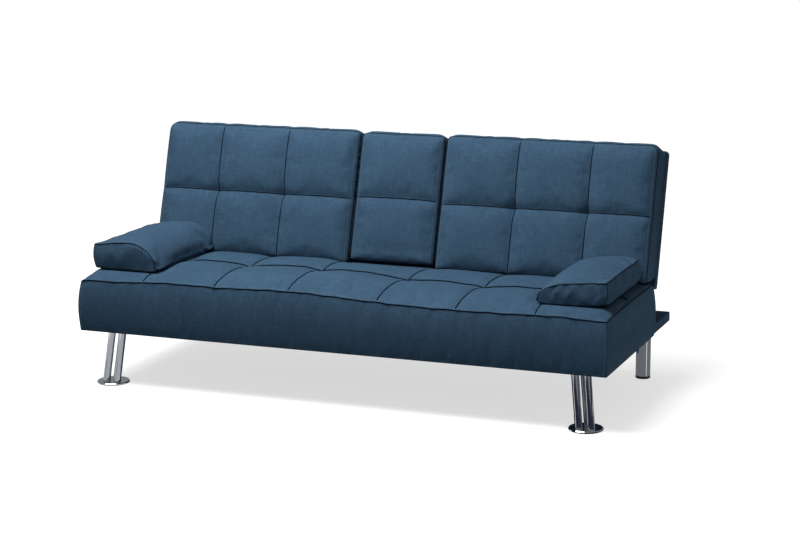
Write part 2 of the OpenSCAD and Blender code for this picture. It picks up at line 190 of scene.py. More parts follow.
def metal(name, color, rough, brushed=0.0, spots=0.0):
    mat, nt, b = new_mat(name)
    g = NT(nt)
    obj, a, c = g.coords()
    smear = g.noise(obj, 30.0, 4.0, 0.65)
    fine = g.noise(obj, 900.0, 2.0, 0.5)
    tone = g.math("ADD", g.math("MULTIPLY", smear, 0.10 + spots), 0.95 - spots * 0.5, clamp=True)
    mix = g.n("ShaderNodeMix", data_type="RGBA")
    g.put(mix.inputs["Factor"], tone)
    mix.inputs["A"].default_value = (*[x * 0.72 for x in color], 1)
    mix.inputs["B"].default_value = (*color, 1)
    nt.links.new(mix.outputs["Result"], b.inputs["Base Color"])
    b.inputs["Metallic"].default_value = 1.0
    r = g.math("ADD", g.math("MULTIPLY", smear, 0.35 * rough + 0.03), rough - 0.015, clamp=True)
    nt.links.new(r, b.inputs["Roughness"])
    if brushed:
        lines = g.noise(g.comb(g.math("MULTIPLY", a, 60), g.math("MULTIPLY", c, 1800)), 1.0, 2.0, 0.5)
        nt.links.new(g.bump(lines, 0.25 * brushed, 0.00012), b.inputs["Normal"])
    else:
        nt.links.new(g.bump(fine, 0.03, 0.00005), b.inputs["Normal"])
    return mat


def plastic(name, color, rough=0.5):
    mat, nt, b = new_mat(name)
    g = NT(nt)
    obj, a, c = g.coords()
    grain = g.noise(obj, 1400.0, 2.0, 0.5)
    scuff = g.noise(obj, 40.0, 4.0, 0.7)
    nt.links.new(g.ramp(scuff, [(0.3, tuple(x * 0.8 for x in color)), (0.75, tuple(x * 1.35 for x in color))]), b.inputs["Base Color"])
    nt.links.new(g.math("ADD", g.math("MULTIPLY", scuff, 0.2), rough - 0.1), b.inputs["Roughness"])
    nt.links.new(g.bump(grain, 0.25, 0.0001), b.inputs["Normal"])
    return mat


def timber(name, dark, light, ring=90.0):
    mat, nt, b = new_mat(name)
    g = NT(nt)
    tc = g.n("ShaderNodeTexCoord")
    x, y, z = g.sep(tc.outputs["Object"])
    v = g.comb(g.math("MULTIPLY", x, 2.0), g.math("MULTIPLY", y, ring), g.math("MULTIPLY", z, ring))
    grain = g.noise(v, 1.0, 5.0, 0.6)
    pores = g.noise(g.comb(g.math("MULTIPLY", x, 20.0), g.math("MULTIPLY", y, 900.0), g.math("MULTIPLY", z, 900.0)), 1.0, 2.0, 0.5)
    nt.links.new(g.ramp(grain, [(0.3, dark), (0.65, light)]), b.inputs["Base Color"])
    nt.links.new(g.math("ADD", g.math("MULTIPLY", grain, 0.2), 0.5), b.inputs["Roughness"])
    nt.links.new(g.bump(pores, 0.2, 0.0002), b.inputs["Normal"])
    return mat


BLUE = fabric("blue_slub_fabric", (0.0150, 0.0345, 0.0590), (0.0252, 0.0530, 0.0880), (0.0420, 0.0800, 0.1260), sheen=0.04)
# seam cords: their near-black navy is painted shade, standing for the shadow in the seam grooves
SEAM_SHADE_CORD = fabric("seam_cord_painted_shade", (0.0012, 0.0026, 0.0055), (0.0022, 0.0048, 0.0095), (0.0045, 0.0090, 0.0160), pitch=0.0008, sheen=0.03, rough=0.9)
# topstitching: real stitches, coloured paler than the cloth as a painted highlight along the ridge beside each seam
TOPSTITCH_HIGHLIGHT = fabric("topstitch_painted_highlight", (0.055, 0.085, 0.115), (0.080, 0.120, 0.160), (0.12, 0.17, 0.21), pitch=0.0006, sheen=0.1, rough=0.7)
LINING = fabric("black_lining", (0.006, 0.006, 0.007), (0.012, 0.012, 0.013), (0.024, 0.024, 0.026), pitch=0.0016, sheen=0.05, tint=(1, 1, 1))
FELT = fabric("grey_felt", (0.06, 0.06, 0.062), (0.12, 0.12, 0.125), (0.2, 0.2, 0.21), pitch=0.004, weave=0.2, sheen=0.1, tint=(1, 1, 1), slub=0.3)
FOAM = fabric("cream_foam", (0.55, 0.48, 0.26), (0.7, 0.63, 0.38), (0.8, 0.74, 0.5), pitch=0.006, weave=0.1, sheen=0.0, tint=(1, 1, 1), slub=0.1)
CHROME = metal("polished_chrome", (0.60, 0.62, 0.65), 0.05)
ZINC = metal("zinc_plated_steel", (0.27, 0.275, 0.285), 0.36, brushed=1.0, spots=0.3)
WIRE = metal("oiled_spring_wire", (0.22, 0.22, 0.24), 0.38, spots=0.3)
BLACKSTEEL = metal("black_painted_steel", (0.010, 0.010, 0.011), 0.70, spots=0.3)
BLACK = plastic("moulded_black_plastic", (0.016, 0.016, 0.018), 0.45)
PINE = timber("planed_pine", (0.42, 0.24, 0.10), (0.66, 0.45, 0.24))
BOARD = timber("pressed_board", (0.25, 0.15, 0.07), (0.42, 0.28, 0.15), ring=300.0)

SLOT_MAT = {"blue_fabric": BLUE, "lining_fabric": LINING, "felt": FELT, "foam": FOAM, "pine": PINE, "board": BOARD,
            "spring_wire": WIRE, "zinc_steel": ZINC, "black_steel": BLACKSTEEL, "chrome": CHROME, "black_plastic": BLACK}
slot_of = {s["node"]: s["material_slot"] for s in frame["record"]["subparts"]}
for name, ob in frame["nodes"].items():
    ob.data.materials.clear()
    ob.data.materials.append(SLOT_MAT[slot_of[name]])

# ------------------------------------------------------------------ soft pieces


def spaced(stops, step):
    out = [stops[0]]
    for a, b in zip(stops, stops[1:]):
        n = max(1, round((b - a) / step))
        out += [a + (b - a) * (i + 1) / n for i in range(n)]
    return out


def curve(pts):
    """Smooth curve through the points, without overshoot at the ends."""
    xs, ys = [p[0] for p in pts], [p[1] for p in pts]
    sl = [(b - a) / (d - c) for a, b, c, d in zip(ys, ys[1:], xs, xs[1:])]
    tg = [sl[0]] + [0.0 if a * b <= 0 else 2 * a * b / (a + b) for a, b in zip(sl, sl[1:])] + [sl[-1]]

    def f(x):
        if x <= xs[0]:
            return ys[0]
        for k in range(len(xs) - 1):
            if x <= xs[k + 1]:
                h = xs[k + 1] - xs[k]
                t = (x - xs[k]) / h
                return ((2 * t ** 3 - 3 * t * t + 1) * ys[k] + (t ** 3 - 2 * t * t + t) * h * tg[k]
                        + (3 * t * t - 2 * t ** 3) * ys[k + 1] + (t ** 3 - t * t) * h * tg[k + 1])
        return ys[-1]

    return f


def bell(d, r):
    return exp(-((d / r) ** 2))


def cell(v, stops):
    """Position within the cell that v lies in, 0 to 1."""
    for a, b in zip(stops, stops[1:]):
        if v <= b + 1e-9:
            return min(1.0, max(0.0, (v - a) / (b - a)))
    return 1.0


def step(v, a, b):
    """0 below a, 1 above b, smooth between."""
    t = min(1.0, max(0.0, (v - a) / (b - a)))
    return t * t * (3 - 2 * t)


def hump(f, p=0.8):
    return max(0.0, sin(pi * f)) ** p


def smin(a, b, k):
    """Smooth minimum."""
    h = max(k - abs(a - b), 0.0) / k
    return min(a, b) - h * h * k * 0.25


def lattice(X, Y, Z):
    nx, ny, nz = len(X), len(Y), len(Z)
    idx, ijk, quads = {}, [], []

    def v(i, j, k):
        key = (i, j, k)
        if key not in idx:
            idx[key] = len(ijk)
            ijk.append(key)
        return idx[key]

    for i in range(nx - 1):
        for j in range(ny - 1):
            quads.append((v(i, j, 0), v(i, j + 1, 0), v(i + 1, j + 1, 0), v(i + 1, j, 0)))
            quads.append((v(i, j, nz - 1), v(i + 1, j, nz - 1), v(i + 1, j + 1, nz - 1), v(i, j + 1, nz - 1)))
        for k in range(nz - 1):
            quads.append((v(i, 0, k), v(i + 1, 0, k), v(i + 1, 0, k + 1), v(i, 0, k + 1)))
            quads.append((v(i, ny - 1, k), v(i, ny - 1, k + 1), v(i + 1, ny - 1, k + 1), v(i + 1, ny - 1, k)))
    for j in range(ny - 1):
        for k in range(nz - 1):
            quads.append((v(0, j, k), v(0, j, k + 1), v(0, j + 1, k + 1), v(0, j + 1, k)))
            quads.append((v(nx - 1, j, k), v(nx - 1, j + 1, k), v(nx - 1, j + 1, k + 1), v(nx - 1, j, k + 1)))
    return idx, ijk, quads


class Soft:
    """A stitched, stuffed cover: a lattice shell, with its seams pinned while the cloth between them fills out."""

    def __init__(self, name, body, X, Y, Z, place, seams, free, cap, pressure=4.0, slack=0.012, bend=1.0, fill=0.7,
                 replaces=(), crease=1.0, to_row=None):
        self.name, self.body, self.fill, self.nodes, self.crease = name, body, fill, replaces, crease
        self.X, self.Y, self.Z = X, Y, Z
        self.idx, self.ijk, quads = lattice(X, Y, Z)
        co = [place(*k) for k in self.ijk]
        if to_row:
            co = [to_row(*c) for c in co]
        self.co = np.array(co, float)
        self.seams = [[self.idx[k] for k in s] for s in seams]
        me = bpy.data.meshes.new(name)
        me.from_pydata(self.co.tolist(), [], quads)
        me.update()
        self.ob = bpy.data.objects.new(name, me)
        SC.collection.objects.link(self.ob)
        on_seam = set(v for s in self.seams for v in s)
        self.pins = [n for n, k in enumerate(self.ijk) if n in on_seam or not free(*k)]
        self.caps = np.array([cap(*k) for k in self.ijk], float)
        self.sim = None
        if len(self.pins) < len(self.ijk):
            vg = self.ob.vertex_groups.new(name="pin")
            vg.add([int(i) for i in self.pins], 1.0, "ADD")
            mod = self.ob.modifiers.new("cloth", "CLOTH")
            s = mod.settings
            s.quality = 6
            s.mass = 0.25
            s.air_damping = 6
            s.tension_stiffness = s.compression_stiffness = 22
            s.shear_stiffness = 9
            s.bending_stiffness = bend
            s.tension_damping = s.compression_damping = 12
            s.shear_damping = 8
            s.bending_damping = 1
            s.shrink_min = -slack
            s.use_pressure = True
            s.uniform_pressure_force = pressure
            s.vertex_group_mass = "pin"
            s.pin_stiffness = 1
            s.effector_weights.gravity = 0
            mod.collision_settings.use_collision = False
            mod.collision_settings.use_self_collision = False
            mod.point_cache.frame_start = 1
            mod.point_cache.frame_end = 24
            self.sim = mod

    def settle(self, after=None):
        if self.sim:
            ev = self.ob.evaluated_get(bpy.context.evaluated_depsgraph_get())
            new = np.zeros(len(self.ijk) * 3)
            ev.data.vertices.foreach_get("co", new)
            new = new.reshape(-1, 3)
            self.ob.modifiers.remove(self.sim)
            d = new - self.co
            d[self.pins] = 0
            d[~np.isfinite(d)] = 0
            n = np.linalg.norm(d, axis=1)
            cap = np.maximum(self.caps, 1e-6)
            # soft limit: close to the cloth's own shape when small, never beyond the cap
            k = np.tanh(n / cap) * cap / np.maximum(n, 1e-9)
            print("SOFT", self.name, "moved mean %.1f max %.1f mm" % (1000 * n.mean(), 1000 * n.max()))
            self.co = self.co + d * k[:, None]
        if after:
            self.co = np.array([after(c, k) for c, k in zip(self.co, self.ijk)])
        me = self.ob.data
        me.vertices.foreach_set("co", self.co.ravel())
        keys = {}
        for s in self.seams:
            for a, b in zip(s, s[1:]):
                keys[(min(a, b), max(a, b))] = self.crease
        att = me.attributes.new("crease_edge", "FLOAT", "EDGE")
        att.data.foreach_set("value", [keys.get((min(e.vertices), max(e.vertices)), 0.0) for e in me.edges])
        me.update()
        sub = self.ob.modifiers.new("sub", "SUBSURF")
        sub.levels = sub.render_levels = 1
        sub.use_limit_surface = False
        bpy.context.view_layer.update()
        ev = self.ob.evaluated_get(bpy.context.evaluated_depsgraph_get())
        fine = bpy.data.meshes.new_from_object(ev)
        self.ob.modifiers.clear()
        self.ob.vertex_groups.clear()
        self.ob.data = fine
        fine.name = self.name
        bpy.data.meshes.remove(me)
        fine.shade_smooth()
        fine.materials.clear()
        fine.materials.append(BLUE)
        n = len(self.ijk)
        self.fine = np.array([v.co for v in fine.vertices[:n]])
        self.nrm = np.array([v.normal for v in fine.vertices[:n]])
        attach(self.ob, self.body)
        if self.nodes:
            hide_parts(*self.nodes)

    def path(self, keys, lift=0.0):
        ids = [self.idx[k] for k in keys]
        return self.fine[ids] + self.nrm[ids] * lift, self.nrm[ids]


class Threads:
    """Seam cords and stitches, gathered into one mesh for each body."""

    def __init__(self, name, body, mat, slot="blue_fabric"):
        self.name, self.body, self.mat, self.slot = name, body, mat, slot
        self.v, self.f = [], []

    def tube(self, pts, r, sides=6, closed=False):
        pts = np.asarray(pts, float)
        n = len(pts)
        if n < 2:
            return
        base = len(self.v)
        up = None
        for i in range(n):
            if closed:
                t = pts[(i + 1) % n] - pts[i - 1]
            else:
                t = pts[min(i + 1, n - 1)] - pts[max(i - 1, 0)]
            t /= max(np.linalg.norm(t), 1e-9)
            if up is None:
                up = np.array([0.3, 0.2, 0.93]) if abs(t[2]) < 0.9 else np.array([1.0, 0.1, 0])
            up = up - t * (up @ t)
            up /= max(np.linalg.norm(up), 1e-9)
            side = np.cross(t, up)
            rr = r * (0.55 if (not closed and i in (0, n - 1)) else 1.0)
            for s in range(sides):
                a = 2 * pi * s / sides
                self.v.append(tuple(pts[i] + rr * (cos(a) * up + sin(a) * side)))
        rings = n if closed else n - 1
        for i in range(rings):
            for s in range(sides):
                a, b = base + i * sides + s, base + i * sides + (s + 1) % sides
                c, d = base + ((i + 1) % n) * sides + (s + 1) % sides, base + ((i + 1) % n) * sides + s
                self.f.append((a, b, c, d))
        if not closed:
            self.f.append(tuple(base + s for s in reversed(range(sides))))
            self.f.append(tuple(base + (n - 1) * sides + s for s in range(sides)))

    def stitches(self, pts, nrm, pitch=0.0066, length=0.0048, r=0.0008):
        pts, nrm = np.asarray(pts, float), np.asarray(nrm, float)
        seg = np.linalg.norm(np.diff(pts, axis=0), axis=1)
        acc = np.concatenate([[0], np.cumsum(seg)])
        total = acc[-1]
        if total < pitch:
            return

        def at(s):
            i = int(np.clip(np.searchsorted(acc, s) - 1, 0, len(seg) - 1))
            f = (s - acc[i]) / max(seg[i], 1e-9)
            return pts[i] * (1 - f) + pts[i + 1] * f, nrm[i] * (1 - f) + nrm[i + 1] * f

        s = pitch * 0.5
        while s + length < total:
            p, n1 = at(s)
            q, n2 = at(s + length)
            self.capsule(p, q, n1, r)
            s += pitch

    def capsule(self, p, q, nrm, r):
        t = q - p
        ln = np.linalg.norm(t)
        if ln < 1e-6:
            return
        t = t / ln
        up = nrm - t * (nrm @ t)
        up /= max(np.linalg.norm(up), 1e-9)
        side = np.cross(t, up)
        base = len(self.v)
        c0, c1 = p + t * ln * 0.22, p + t * ln * 0.78
        self.v.append(tuple(p - up * r * 0.6))
        for c in (c0, c1):
            for a in (0, 1, 2, 3):
                an = a * pi / 2
                self.v.append(tuple(c + r * (cos(an) * up * 1.0 + sin(an) * side * 1.15)))
        self.v.append(tuple(q - up * r * 0.6))
        for a in range(4):
            b = (a + 1) % 4
            self.f.append((base, base + 1 + b, base + 1 + a))
            self.f.append((base + 1 + a, base + 1 + b, base + 5 + b, base + 5 + a))
            self.f.append((base + 5 + a, base + 5 + b, base + 9))

    def done(self):
        me = bpy.data.meshes.new(self.name)
        me.from_pydata(self.v, [], self.f)
        me.update()
        me.shade_smooth()
        me.materials.append(self.mat)
        ob = bpy.data.objects.new(self.name, me)
        SC.collection.objects.link(ob)
        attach(ob, self.body)
        return ob


# dimensions of the frame, in metres
LEAN = math.radians(17)
CL, SL = cos(LEAN), sin(LEAN)
HW, Y0, Y1, Y2, BOT, TOP = 0.910, -0.410, 0.182, 0.410, 0.190, 0.372
BO = (0.109, 0.372)
STEP = 0.0125


def back_row(x, w, u):
    return (x, BO[0] + w * CL + u * SL, BO[1] - w * SL + u * CL)


def under(w, z):
    return (z + w * SL) / CL


def interp(x, table):
    if x <= table[0][0]:
        return table[0][1]
    for (a, fa), (b, fb) in zip(table, table[1:]):
        if x <= b:
            t = (x - a) / (b - a)
            return fa + (fb - fa) * t
    return table[-1][1]


# ---- seat
SX_COLS = [-HW, -0.680, -0.419, -0.154, 0.154, 0.419, 0.680, HW]
SX = spaced([-HW, -HW + 0.008, -0.680, -0.419, -0.154, 0.154, 0.419, 0.680, HW - 0.008, HW], STEP)
SY = spaced([Y0, Y0 + 0.008, -0.120, 0.160, Y1], 0.0115)
HEM = 0.1893
SZ = spaced([HEM, HEM + 0.005, 0.3575, 0.3645], STEP)
SNX, SNY, SNZ = len(SX), len(SY), len(SZ)
nose = lambda y: 0.350 + math.sqrt(max(0.0, 0.022 ** 2 - max(0.0, y - 0.160) ** 2))
FRONT_BOW = [(-0.910, -0.009), (-0.820, -0.0035), (-0.700, 0.0012), (-0.635, 0.0062), (-0.520, 0.0074), (-0.419, 0.0060), (-0.320, 0.0080),
             (-0.260, 0.0108), (-0.157, 0.0120), (-0.060, 0.0104), (0.030, 0.0058), (0.105, 0.0024), (0.230, -0.0020), (0.334, -0.0040),
             (0.450, -0.0044), (0.600, -0.0020), (0.683, 0.0), (0.755, 0.0010), (0.826, -0.0014), (0.910, -0.0052)]


def seat_seam_z(y):
    return 0.3645 - (0.372 - nose(y)) * 0.95


# height of the stitched columns from front to rear, how far the left half stands above the right, and the arches between columns
COLUMN = curve([(-0.410, 0.3645), (-0.402, 0.3672), (-0.393, 0.3705), (-0.372, 0.3767), (-0.350, 0.3820), (-0.320, 0.3878), (-0.280, 0.3920),
                (-0.240, 0.3940), (-0.205, 0.3925), (-0.175, 0.3885), (-0.150, 0.3828), (-0.132, 0.3788), (-0.120, 0.3772), (-0.108, 0.3785),
                (-0.090, 0.3820), (-0.060, 0.3860), (-0.020, 0.3872), (0.020, 0.3855), (0.055, 0.3820), (0.085, 0.3765), (0.110, 0.3735),
                (0.150, 0.3720), (0.182, 0.3720)])
BOW = curve(FRONT_BOW)
LEFT_UP = curve([(-0.410, 1.0), (-0.340, 1.12), (-0.120, 1.0), (0.000, 0.80), (0.060, 0.45), (0.105, 0.0)])
ARCH = curve([(-0.410, 0.0), (-0.385, 0.0030), (-0.300, 0.0056), (-0.240, 0.0062), (-0.175, 0.0078), (-0.150, 0.0092), (-0.120, 0.0110), (-0.090, 0.0095), (0.000, 0.0065),
              (0.060, 0.0050), (0.100, 0.0012), (0.130, 0.0)])


def front_wave(x):
    """Height of the front seam above a straight line: it bows up a little and wavers."""
    return BOW(x) + 0.0007 * sin(x * 51.0) + 0.0005 * sin(x * 83.0 + 1.0)


def seat_top(x, y):
    dx, d = min(x + HW, HW - x), min(x + HW, HW - x, y - Y0)
    base = seat_seam_z(y) + front_wave(x) * exp(-(y - Y0) / 0.09)
    sx = hump(cell(x, SX_COLS), 0.7 + 0.6 * step(-0.126 - y, 0.0, 0.03))
    bow = front_wave(x) if x > 0 else max(front_wave(x), -0.0025)
    z = COLUMN(y) + bow * LEFT_UP(y) + ARCH(y) * sx
    for cx in SX_COLS[1:-1]:
        z -= 0.0016 * bell(x - cx, 0.009) * min(1, max(0.0, d - 0.004) / 0.02)
    # the middle cell is pressed lower where the folded table rests
    z -= 0.0080 * step(0.156 - abs(x), 0.0, 0.035) * step(y, -0.095, -0.02) * (1 - step(y, 0.085, 0.125))
    z -= 0.0020 * step(0.156 - abs(x), 0.0, 0.035) * step(y, -0.27, -0.23) * (1 - step(y, -0.18, -0.13))
    e = 1 - exp(-dx / (0.010 if x < 0 else 0.014))
    return base * (1 - e) + z * e if y < 0.150 else base + 0.004 * (1 - exp(-dx / 0.013)) * max(0.0, (0.176 - y) / 0.026)


def seat_place(i, j, k):
    x, y, z = SX[i], SY[j], SZ[k]
    f = (z - HEM) / (0.3645 - HEM)
    if k == SNZ - 1:
        z = seat_top(x, y)
    else:
        zs = seat_seam_z(y) + front_wave(x) * exp(-(y - Y0) / 0.09)
        z = HEM + f * (zs - HEM)
        if k == 0 and min(x + HW, HW - x, y - Y0, Y1 - y) > 0.03:
            z = BOT + 0.0035
    out = 0.9095 - 0.0045 * f ** 4 + 0.0048 * hump(f, 1.0)
    x = x * out / HW
    front = 0.0050 * f ** 4 - 0.0048 * hump(f, 1.0) if k < SNZ - 1 else 0.0050
    y = y + (0.0005 + front) * max(0.0, (-0.37 - y) / 0.04)
    return (x, y, z)


def rng(n):
    return range(n)


K = SNZ - 1
col_i = [min(rng(SNX), key=lambda i: abs(SX[i] - c)) for c in SX_COLS[1:-1]]
row_j = min(rng(SNY), key=lambda j: abs(SY[j] + 0.120))
seat_front_seam = [(i, 0, K) for i in rng(SNX)]
seat_side_seams = [[(i, j, K) for j in rng(SNY)] for i in (0, SNX - 1)]
seat_rear_seam = [(i, SNY - 1, K) for i in rng(SNX)]
seat_cols = [[(i, j, K) for j in rng(SNY)] for i in col_i]
seat_row = [(i, row_j, K) for i in rng(SNX)]
seat_corners = [[(i, j, k) for k in rng(SNZ)] for i in (0, SNX - 1) for j in (0, SNY - 1)]
seat_hem = [[(i, j, 0) for i in rng(SNX)] for j in (0, SNY - 1)] + [[(i, j, 0) for j in rng(SNY)] for i in (0, SNX - 1)]
seat = Soft("seat_upholstery", "base", SX, SY, SZ, seat_place,
            [seat_front_seam, *seat_side_seams, seat_rear_seam, *seat_cols, seat_row, *seat_corners, *seat_hem],
            free=lambda i, j, k: k > 0,
            cap=lambda i, j, k: (0.0010 + 0.0032 * step(abs(SY[j] + 0.12), 0.03, 0.12)) if k == K else 0.0028,
            pressure=4.0, slack=0.010, bend=1.5, fill=0.75, replaces=("seat_cover", "seat_foam"))

# ---- side back cushions


class Pad:
    """One tufted cushion of the backrest, in back coordinates: x, w rearward, u up."""

    def __init__(self, name, body, x0, x1, cols, row, H, W, nodes, round_left, round_right, bottom_roll=False, inl=0.0055, inr=0.0055, puff=1.0):
        self.x0, self.x1, self.H, self.W, self.roll = x0, x1, H, W, bottom_roll
        self.cols, self.row = cols, row
        self.rl, self.rr = round_left, round_right
        self.inl, self.inr, self.puff = inl, inr, puff
        u0 = 0.016 if bottom_roll else 0.0
        self.u0 = u0
        X = spaced([x0, x0 + 0.008, *cols, x1 - 0.008, x1], STEP)
        Y = spaced([0.012, 0.021, 0.058, W], STEP)
        Z = spaced([u0, u0 + 0.008, row, H - 0.008, H], STEP)
        if bottom_roll:
            Z = [0.016, 0.0172, 0.0195, 0.023, 0.0275, 0.0325, 0.038, 0.046, 0.056] + spaced([0.067, row, H - 0.008, H], STEP)
        self.X, self.Y, self.Z = X, Y, Z
        nx, ny, nz = len(X), len(Y), len(Z)
        self.n = (nx, ny, nz)
        ci = [min(rng(nx), key=lambda i: abs(X[i] - c)) for c in cols]
        rk = min(rng(nz), key=lambda k: abs(Z[k] - row))
        self.edge = [[(i, 0, nz - 1) for i in rng(nx)], [(0, 0, k) for k in rng(nz)], [(nx - 1, 0, k) for k in rng(nz)], [(i, 0, 0) for i in rng(nx)]]
        self.quilt = [[(i, 0, k) for k in rng(nz)] for i in ci] + [[(i, 0, rk) for i in rng(nx)]]
        self.corner = [[(i, j, k) for j in rng(ny)] for i in (0, nx - 1) for k in (0, nz - 1)]
        self.rear = [[(i, ny - 1, nz - 1) for i in rng(nx)], [(0, ny - 1, k) for k in rng(nz)], [(nx - 1, ny - 1, k) for k in rng(nz)], [(i, ny - 1, 0) for i in rng(nx)]]
        self.soft = Soft(name, body, X, Y, Z, self.place, self.edge + self.quilt + self.corner + self.rear,
                         free=lambda i, j, k: j < ny - 1,
                         cap=lambda i, j, k: ((0.0022 + 0.0103 * step(Z[k], 0.030, 0.110) if bottom_roll else 0.0125) if j == 0 else 0.0035),
                         pressure=4.0, slack=0.011, bend=1.5, fill=0.75, replaces=nodes, to_row=back_row)

    def ub(self, w):
        """Underside."""
        if self.roll:
            return 0.0160 if w < 0.0265 else under(w, 0.0053)
        return under(w, 0.0048)

    def place(self, i, j, k):
        x, w, u = self.X[i], self.Y[j], self.Z[k]
        x0, x1, H, W = self.x0, self.x1, self.H, self.W
        dl, dr, dt, db = x - x0, x1 - x, H - u, u - self.u0
        if j == 0:
            d = min(dl, dr, dt) if self.roll else min(dl, dr, dt, 3.0 * db + 0.014)
            stops = [x0, *self.cols, x1]
            rows = [self.u0, self.row, H]
            sx, su = hump(cell(x, stops)), hump(cell(u, rows))
            inner = d in (dl, dr) and (self.inl if d == dl else self.inr) < 0.004
            w = 0.012 * exp(-d / (0.008 if inner else 0.011))
            w -= 0.0100 * (1 - exp(-d / 0.022)) * self.puff
            w -= (0.0034 * sx * (1 - exp(-db / 0.02)) + 0.0034 * su + 0.0015 * sx * su) * self.puff
            far = min(1.0, d / 0.03)
            for c in self.cols:
                w += 0.0120 * bell(math.hypot(x - c, (u - self.row) * 0.9), 0.025)
                w += 0.0048 * bell(x - c, 0.0100) * far
                # folds that run up from each tuft
                w += 0.0036 * bell(x - c, 0.013) * bell(u - self.row - 0.03, 0.045) * far
            w += 0.0072 * bell(u - self.row, 0.0105) * far
            if self.roll:
                w += 0.0040 * step(u, 0.030, 0.065) * (1 - step(u, 0.165, 0.222)) * step(min(dl, dr), 0.0, 0.03)
            if self.roll and u < 0.028:
                w += 0.0125 - math.sqrt(max(0.0, 0.0125 ** 2 - (0.028 - u) ** 2))
        else:
            f = (w - self.Y[0]) / (W - self.Y[0])
            wf = 0.020 if (self.roll and k == 0) else 0.012
            w = wf + f * (W - wf)
        # boxing pulls in towards the front seam
        fall = exp(-max(0.0, self.Y[j] - 0.012) / 0.014)
        al, ar, au = self.inl * fall, self.inr * fall, 0.0012 * fall
        x = x + al * exp(-dl / 0.02) - ar * exp(-dr / 0.02)
        # the top edge dips at each column of stitching
        for c in self.cols:
            au += 0.0008 * bell(x - c, 0.014)
        if j > 0:
            f = min(1.0, max(0.0, (self.Y[j] - 0.012) / (W - 0.012)))
            puff = 0.0095 * sin(pi * f ** 0.6) ** 0.8 * exp(-dt / 0.030) * step(min(dl, dr), 0.0, 0.030)
            for c in self.cols:
                puff *= 1 - 0.16 * bell(x - c, 0.018)
            au -= puff
        u2 = u - au * exp(-dt / 0.02)
        if j == 0:  # the cross seam arches a little between the columns
            u2 += 0.0034 * hump(cell(x, [x0, *self.cols, x1]), 0.8) * bell(u - self.row, 0.035)
        # rounded top corners
        for on, sgn, xe in ((self.rl, -1, x0 + al), (self.rr, 1, x1 - ar)):
            if on:
                r = on
                px, pu = sgn * (x - (xe - sgn * r)), u2 - (H - au - r)
                if px > 0 and pu > 0:
                    m, l = max(px, pu), math.hypot(px, pu)
                    x, u2 = xe - sgn * r + sgn * px * m / l, H - au - r + pu * m / l
        b = self.ub(w) if not (self.roll and j == 0) else 0.016
        u2 = b + (u2 - self.u0) * (H - b) / (H - self.u0)
        return (x, w, u2)


IN_X, OUT_X, BH = 0.159, 0.900, 0.462
left_pad = Pad("left_back_cushion", "backrest", -OUT_X, -IN_X, [-0.676, -0.423], 0.222, BH, 0.1028,
               ("left_back_cover", "left_back_foam"), 0.024, 0.014, inr=0.0020)
right_pad = Pad("right_back_cushion", "backrest", IN_X, OUT_X, [0.423, 0.676], 0.222, BH, 0.1028,
                ("right_back_cover", "right_back_foam"), 0.014, 0.024, inl=0.0020)
table = Pad("centre_table_cushion", "table", -0.152, 0.152, [], 0.232, 0.459, 0.1000,
            ("table_cover", "table_foam"), 0.014, 0.014, bottom_roll=True, inl=0.0015, inr=0.0015, puff=0.75)

# ---- cover of the board behind the back cushions
RX = spaced([-OUT_X, -OUT_X + 0.008, OUT_X - 0.008, OUT_X], 0.02)
RY = spaced([0.1034, 0.111, 0.140, 0.148], 0.012)
RZ = spaced([0.002, 0.010, 0.452, 0.460], 0.0155)
RNX, RNY, RNZ = len(RX), len(RY), len(RZ)


def rear_place(i, j, k):
    x, w, u = RX[i], RY[j], RZ[k]
    e = 0.0025
    if j == RNY - 1:
        w += 0.0007 * hump((x + OUT_X) / (2 * OUT_X), 0.5) * hump((u - 0.002) / 0.458, 0.5)
    # eased edges at the rear
    r = 0.006
    for sgn, lim in ((-1, -OUT_X), (1, OUT_X)):
        px, pw = sgn * (x - (lim - sgn * r)), w - (0.148 - r)
        if px > 0 and pw > 0:
            mm, l = max(px, pw), math.hypot(px, pw)
            x, w = lim - sgn * r + sgn * px * mm / l, 0.148 - r + pw * mm / l
    pu, pw = u - (0.460 - r), w - (0.148 - r)
    if pu > 0 and pw > 0:
        mm, l = max(pu, pw), math.hypot(pu, pw)
        u, w = 0.460 - r + pu * mm / l, 0.148 - r + pw * mm / l
    return (x, w, u)


rear_edges = [[(i, RNY - 1, k) for k in rng(RNZ)] for i in (0, RNX - 1)] + [[(i, RNY - 1, k) for i in rng(RNX)] for k in (0, RNZ - 1)]
rear_front = [[(i, 0, k) for k in rng(RNZ)] for i in (0, RNX - 1)] + [[(i, 0, k) for i in rng(RNX)] for k in (0, RNZ - 1)]
rear = Soft("back_rear_upholstery", "backrest", RX, RY, RZ, rear_place, rear_edges + rear_front,
            free=lambda i, j, k: j > 0 and k > 0, cap=lambda i, j, k: 0.0005 if j == RNY - 1 else 0.0025, pressure=1.2, slack=0.004, bend=3.0, fill=0.95,
            replaces=("back_rear_cover",), crease=0.35, to_row=back_row)

# ---- ledge
LX = spaced([-0.908, -0.904, 0.904, 0.908], 0.02)
LY = spaced([0.183, 0.187, 0.405, 0.410], 0.016)
LZ = spaced([0.190, 0.194, 0.219, 0.2235], 0.009)
LNX, LNY, LNZ = len(LX), len(LY), len(LZ)


def ledge_place(i, j, k):
    x, y, z = LX[i], LY[j], LZ[k]
    r = 0.0045
    c = [max(-0.908 + r, min(0.908 - r, x)), max(0.183, min(0.410 - r, y)), max(0.190 + r, min(0.2235 - r, z))]
    p = np.array([x, y, z]) - np.array(c)
    l = np.linalg.norm(p)
    if l > 1e-9:
        p = p * np.abs(p).max() / l
    q = np.array(c) + p
    if k == LNZ - 1:
        q[2] += 0.0004 * sin(x * 9 + 1) * sin(y * 40) + 0.0003 * sin(x * 37 + y * 25)
    if j == LNY - 1 and 0 < k < LNZ - 1:
        q[1] += 0.0007 * sin(x * 17 + 2)
    return tuple(q)


